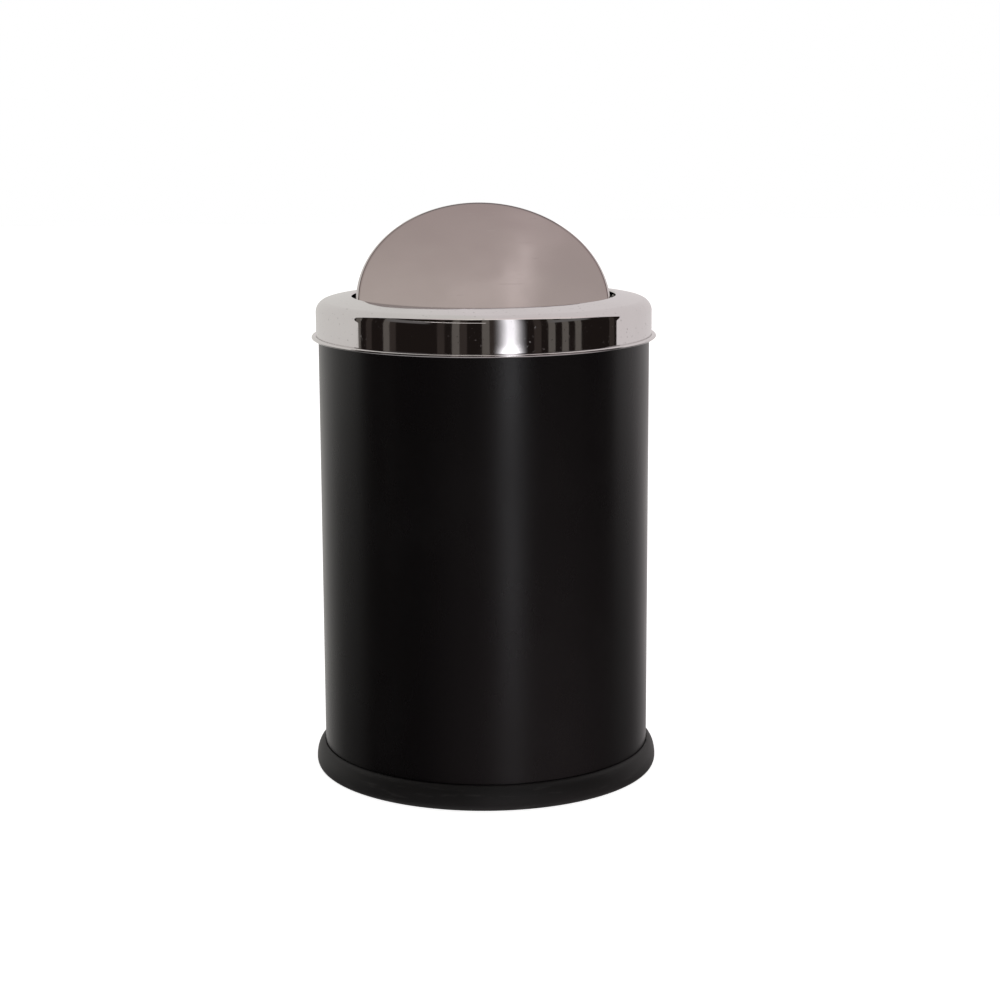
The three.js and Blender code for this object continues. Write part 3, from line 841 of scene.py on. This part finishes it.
def ear_rivets():
    """Domed head inside the ear, set tail outside the wall."""
    start = EAR["outer"] - EAR["sheet"] - SEAT - RIVET["head_height"]
    end, head, shank = RIVET["end"], RIVET["head"], RIVET["shank"]
    outline = [(0, start)] + arc(0, start + RIVET["head_height"], head, 276, 360, 10, RIVET["head_height"])
    outline += [(shank, start + RIVET["head_height"]), (shank, end - RIVET["head_height"])]
    outline += [(head - 0.4, end - RIVET["head_height"])]
    outline += arc(0, end - 0.6, head - 0.4, 10, 84, 8, 0.6)
    outline += [(0, end)]
    for word, side in SIDES.items():
        for end_word, y in (("front", -RIVET["y"]), ("back", RIVET["y"])):
            place = Matrix.Translation((0, y, RIVET["z"])) @ side @ ALONG_X
            rivet = mesh_object("rivet", turned(outline, 32), place)
            stands_for(rivet, f"ear_rivet_{word}_{end_word}", 40)


def bail_wire():
    """Wire handle lying back on the pail, its ends turned inwards through the ears."""
    radius, bend, z = BAIL["radius"], BAIL["bend"], BAIL["z"]
    first = math.asin(bend / radius)
    corner_x = radius * math.cos(first)
    side = [(BAIL["stub"], 0.0), (BAIL["stub"] + 2, 0.0)]
    for angle in spread(0, math.pi / 2, 8):
        side.append((corner_x - bend + bend * math.sin(angle), bend - bend * math.cos(angle)))
    angles = spread(first, math.pi - first, 120)
    bow = [(radius * math.cos(a), radius * math.sin(a)) for a in angles[1:-1]]
    path = side + bow + [(-x, y) for x, y in reversed(side)]
    bail = mesh_object("bail", tube([(x, y, z) for x, y in path], BAIL["wire"], 28))
    stands_for(bail, "bail_wire", 40)


# --- studio -------------------------------------------------------------------------------------

CAMERA_PLACE = (-0.11062, -1.65828, 0.53276)
CAMERA_AZIMUTH = 3.794
CAMERA_PITCH = 10.625
CAMERA_ROLL = 0.32
CAMERA_LENS = 79.35
CAMERA_SHIFT = (0.01626, -0.0200)
# Unit vector from the camera to the axis of the bin at the collar's height.
SIGHT = (Vector((0, 0, BEAD["z"] * MM)) - Vector(CAMERA_PLACE)).normalized()

WHITE_WALL = (0.68, 0.64, 0.64)
FLOOR_GLOW = (0.40, 0.385, 0.385)

# The ceiling from the back of the room forwards: the forward distance over the height, and its colour.
CEILING = [
    (0.10, WHITE_WALL),
    (0.00, (0.72, 0.63, 0.63)),
    (-0.11, (0.80, 0.72, 0.71)),
    (-0.16, (1.05, 1.00, 0.96)),
    (-0.30, (0.92, 0.87, 0.85)),
]

# The dark side of the room is a row of upright panels of equal width, in degrees, and each one takes
# a tone by chance.
PANEL_WIDTH = 5.0
PANEL_SEED = 7.0
PANEL_TONES = [(0.0, (0.012, 0.009, 0.008)), (0.55, (0.035, 0.028, 0.025)), (0.82, (0.11, 0.10, 0.09))]

# A bright window a little to the right of the front, brightest at its sill. Angles are in degrees.
WINDOW = {"from": 12.0, "to": 16.0, "soft": 10.0, "bottom": -14.0, "glow": (1.2, 1.2, 1.25)}
SILL = {"low": -10.0, "high": -8.0, "soft": 1.5, "gain": 4.0}
# The floor in front of the bin, seen by the shell lower down.
FLOOR_SHEEN = {"from": 10.0, "to": 50.0, "soft": 60.0, "glow": (0.38, 0.31, 0.32)}
LAMPS = {"low": 45.5, "high": 48.0, "from": -52.0, "to": -3.0, "glow": (1.1, 1.05, 1.0)}
SOFT_BOXES = {"azimuth": 57.0, "half_width": 12.0, "low": 33.0, "high": 46.0, "glow": (0.12, 0.114, 0.112)}

# Bright panels on the ceiling: where they are seen from the bin, as sideways and forward distance
# over height, with their half sizes, softness and brightness.
CEILING_PANELS = [
    ((0.090, -0.120), (0.010, 0.002), 0.004, 0.15),
    ((0.085, -0.140), (0.005, 0.012), 0.003, 0.30),
    ((0.065, -0.145), (0.010, 0.001), 0.007, 0.12),
]
# A darker patch of the ceiling, beyond this sideways distance and nearer the front than this one.
CEILING_SHADE = {"side": 0.09, "front": -0.13, "tint": (0.86, 0.86, 0.86)}
# Brightness of the walls below eye level: backward share of the direction, and gain.
LOW_WALL_GAIN = [(0.0, 0.22), (0.55, 0.32), (0.80, 0.85), (1.0, 1.5)]
# The edge of the dark side of the room: its slopes at the left, the right and the ceiling, and at
# its two sides.
DARK_EDGE = {
    "left_start": -0.12, "left_slope": 0.47, "right_start": -0.9, "right_slope": 0.45,
    "ceiling": -0.2, "side_rise": 0.45, "side_low": 0.13, "soft": 0.003,
}


def studio_world():
    """White walls at the sides and back, a dark room in front, a warm grey ceiling above.

    The camera sees plain white: only reflections and light come from the room."""
    world = bpy.data.worlds.new("studio")
    bpy.context.scene.world = world
    world.use_nodes = True
    tree = Tree(world.node_tree)
    world.node_tree.nodes.clear()
    direction = tree.node("TexCoord").outputs["Generated"]
    parts = tree.node("SeparateXYZ", {"Vector": direction}).outputs
    elevation = tree.math("DEGREES", tree.math("ARCSINE", parts["Z"]))
    azimuth = mirror_azimuth(tree, parts)

    dark = front_colour(tree, azimuth, elevation)
    room = tree.mix(in_front(tree, parts), ceiling_colour(tree, parts), dark)
    below = tree.fit(elevation, -42.0, -50.0)
    room = tree.mix(below, room, (*FLOOR_GLOW, 1))

    seen = tree.node("LightPath").outputs["Is Camera Ray"]
    colour = tree.mix(seen, room, (1, 1, 1, 1))
    background = tree.node("Background", {"Color": colour, "Strength": 1.0})
    output = tree.node("OutputWorld")
    tree.put(output.inputs["Surface"], background.outputs[0])


def band(tree, value, low, high, soft):
    """One between low and high, falling to zero over a soft margin outside."""
    rising = tree.fit(value, low - soft, low)
    falling = tree.fit(value, high + soft, high)
    return tree.math("MULTIPLY", rising, falling)


def mirror_azimuth(tree, parts):
    """Azimuth for the panels, bent with height so that an upright round mirror shows them upright.

    It is twice the azimuth of a mirror's normal that sends the camera's line of sight that way."""
    x = tree.math("SUBTRACT", parts["X"], SIGHT[0])
    backwards = tree.math("SUBTRACT", SIGHT[1], parts["Y"])
    turn = tree.math("DEGREES", tree.math("ARCTAN2", x, backwards))
    return tree.math("MULTIPLY_ADD", turn, 2.0, math.degrees(math.atan2(SIGHT[0], SIGHT[1])))


def in_front(tree, parts):
    """One towards the dark side of the room, whose ceiling edge and side walls are straight lines."""
    x, y, z = parts["X"], parts["Y"], parts["Z"]
    up = tree.math("MAXIMUM", z, 0.0)
    edge = DARK_EDGE
    left = tree.math("MULTIPLY_ADD", up, edge["left_start"], tree.math("MULTIPLY", x, -1.0))
    left = tree.math("MULTIPLY", left, edge["left_slope"])
    right = tree.math("MULTIPLY", tree.math("MULTIPLY_ADD", up, edge["right_start"], x), edge["right_slope"])
    bow = tree.math("MAXIMUM", tree.math("MAXIMUM", left, right), 0.0)
    ceiling_edge = tree.math("MULTIPLY_ADD", up, edge["ceiling"], bow)
    opening = tree.math("MULTIPLY_ADD", up, edge["side_rise"], edge["side_low"])
    side_edge = tree.math("MULTIPLY", tree.math("ABSOLUTE", x), opening)
    limit = tree.math("MINIMUM", ceiling_edge, side_edge)
    return tree.fit(tree.math("SUBTRACT", limit, y), -edge["soft"], edge["soft"])


def front_colour(tree, azimuth, elevation):
    """Dark upright panels, one bright window, the floor's sheen, a line of lamps, two soft boxes."""
    panel = tree.math("FLOOR", tree.math("MULTIPLY_ADD", azimuth, 1 / PANEL_WIDTH, PANEL_SEED))
    chance = tree.node("TexWhiteNoise", {"W": panel}, noise_dimensions="1D").outputs["Value"]
    colour = tree.ramp(chance, PANEL_TONES, "CONSTANT")

    window = band(tree, azimuth, WINDOW["from"], WINDOW["to"], WINDOW["soft"])
    sill = band(tree, elevation, SILL["low"], SILL["high"], SILL["soft"])
    above = tree.fit(elevation, WINDOW["bottom"], SILL["low"])
    height = tree.math("MULTIPLY_ADD", sill, SILL["gain"], above)
    strength = tree.math("MULTIPLY", tree.math("MULTIPLY", window, window), height)
    glow = tree.node("VectorMath", {0: WINDOW["glow"], 3: strength}, operation="SCALE").outputs[0]
    colour = tree.node("VectorMath", {0: colour, 1: glow}, operation="ADD").outputs[0]

    across = band(tree, azimuth, FLOOR_SHEEN["from"], FLOOR_SHEEN["to"], FLOOR_SHEEN["soft"])
    sheen = tree.node("VectorMath", {0: FLOOR_SHEEN["glow"], 3: across}, operation="SCALE").outputs[0]
    colour = tree.mix(tree.fit(elevation, -11.0, -16.0), colour, sheen)

    lamps = tree.math(
        "MULTIPLY",
        band(tree, azimuth, LAMPS["from"], LAMPS["to"], 1.0),
        band(tree, elevation, LAMPS["low"], LAMPS["high"], 0.5),
    )
    colour = tree.mix(lamps, colour, (*LAMPS["glow"], 1))
    aside = tree.math("SUBTRACT", tree.math("ABSOLUTE", azimuth), SOFT_BOXES["azimuth"])
    box = tree.math(
        "MULTIPLY",
        band(tree, aside, -SOFT_BOXES["half_width"], SOFT_BOXES["half_width"], 6.0),
        band(tree, elevation, SOFT_BOXES["low"], SOFT_BOXES["high"], 6.0),
    )
    return tree.mix(box, colour, (*SOFT_BOXES["glow"], 1))


def ceiling_colour(tree, parts):
    height = tree.math("MAXIMUM", parts["Z"], 0.05)
    sideways = tree.math("DIVIDE", parts["X"], height)
    forward = tree.math("DIVIDE", parts["Y"], height)
    ends = CEILING[0][0], CEILING[-1][0]
    stops = [((place - ends[0]) / (ends[1] - ends[0]), colour) for place, colour in CEILING]
    colour = tree.ramp(tree.fit(forward, *ends), stops)
    olive = tree.fit(sideways, 0.10, -0.05, 0.0, 0.6)
    colour = tree.mix(olive, colour, tree.mix(1.0, colour, (0.92, 0.98, 0.92, 1), "MULTIPLY"))
    for (x, y), (half_x, half_y), soft, glow in CEILING_PANELS:
        across = band(tree, sideways, x - half_x, x + half_x, soft)
        along = band(tree, forward, y - half_y, y + half_y, soft)
        share = tree.math("MULTIPLY", across, along)
        colour = tree.mix(share, colour, tree.mix(1.0, colour, (glow, glow, glow, 1), "ADD"))
    beside = tree.fit(sideways, CEILING_SHADE["side"] - 0.001, CEILING_SHADE["side"] + 0.001)
    nearer = tree.fit(forward, CEILING_SHADE["front"] + 0.003, CEILING_SHADE["front"] - 0.003)
    share = tree.math("MULTIPLY", beside, nearer)
    colour = tree.mix(share, colour, tree.mix(1.0, colour, (*CEILING_SHADE["tint"], 1), "MULTIPLY"))
    return low_walls(tree, parts, colour)


def low_walls(tree, parts, colour):
    """Below eye level the side walls are in shade and the back wall is lit."""
    below = tree.fit(parts["Z"], -0.135, -0.18)
    gain = tree.ramp(parts["Y"], [(place, (value,) * 3) for place, value in LOW_WALL_GAIN])
    skirting = tree.fit(parts["Z"], -0.25, -0.32, 1.0, 0.55)
    gain = tree.node("VectorMath", {0: gain, 3: skirting}, operation="SCALE").outputs[0]
    return tree.mix(below, colour, tree.mix(1.0, colour, gain, "MULTIPLY"))


def studio_floor():
    """A pale floor that glows almost white, with only a breath of shadow at the foot."""
    bpy.ops.mesh.primitive_plane_add(size=12)
    floor = bpy.context.object
    floor.name = "studio_floor"
    floor.visible_glossy = False
    material = bpy.data.materials.new("studio_floor")
    material.use_nodes = True
    tree = Tree(material.node_tree)
    shader = material.node_tree.nodes["Principled BSDF"]
    values = {"Base Color": (0.8, 0.8, 0.8, 1), "Roughness": 1.0, "Specular IOR Level": 0.0}
    glow = {"Emission Color": (1, 1, 1, 1), "Emission Strength": 0.88}
    for name, value in {**values, **glow}.items():
        tree.put(shader.inputs[name], value)
    floor.data.materials.append(material)


def camera():
    """Just above the collar, a little to the left of the flap's axis, tilted very slightly."""
    azimuth, pitch = math.radians(CAMERA_AZIMUTH), math.radians(CAMERA_PITCH)
    roll = math.radians(CAMERA_ROLL)
    level = Vector((math.sin(azimuth), math.cos(azimuth), 0))
    forward = level * math.cos(pitch) - Vector((0, 0, math.sin(pitch)))
    right = Vector((math.cos(azimuth), -math.sin(azimuth), 0))
    up = right.cross(forward)
    right, up = right * math.cos(roll) - up * math.sin(roll), up * math.cos(roll) + right * math.sin(roll)
    turn = Matrix((right, up, -forward)).transposed().to_4x4()
    data = bpy.data.cameras.new("photo_camera")
    data.sensor_width = 36
    data.lens = CAMERA_LENS
    data.shift_x, data.shift_y = CAMERA_SHIFT
    obj = bpy.data.objects.new("photo_camera", data)
    obj.matrix_world = Matrix.Translation(CAMERA_PLACE) @ turn
    bpy.context.scene.collection.objects.link(obj)
    bpy.context.scene.camera = obj


# --- the whole scene ----------------------------------------------------------------------------

for make_finish in (
    powder_coat, moulded_plastic, chromed_collar, flap_steel,
    galvanised_sheet, plated_steel, nylon,
):
    make_finish()

for make_piece in (
    body_shell, foot_ring, base_pan, foot_screws,
    lid_collar, pivot_bushes, flap_plate, pivot_rod, rod_saddles, rod_caps,
    liner_wall, liner_base, bail_ears, ear_rivets, bail_wire,
):
    make_piece()

studio_world()
studio_floor()
camera()
bpy.context.scene.view_settings.view_transform = "Standard"

bpy.context.view_layer.update()
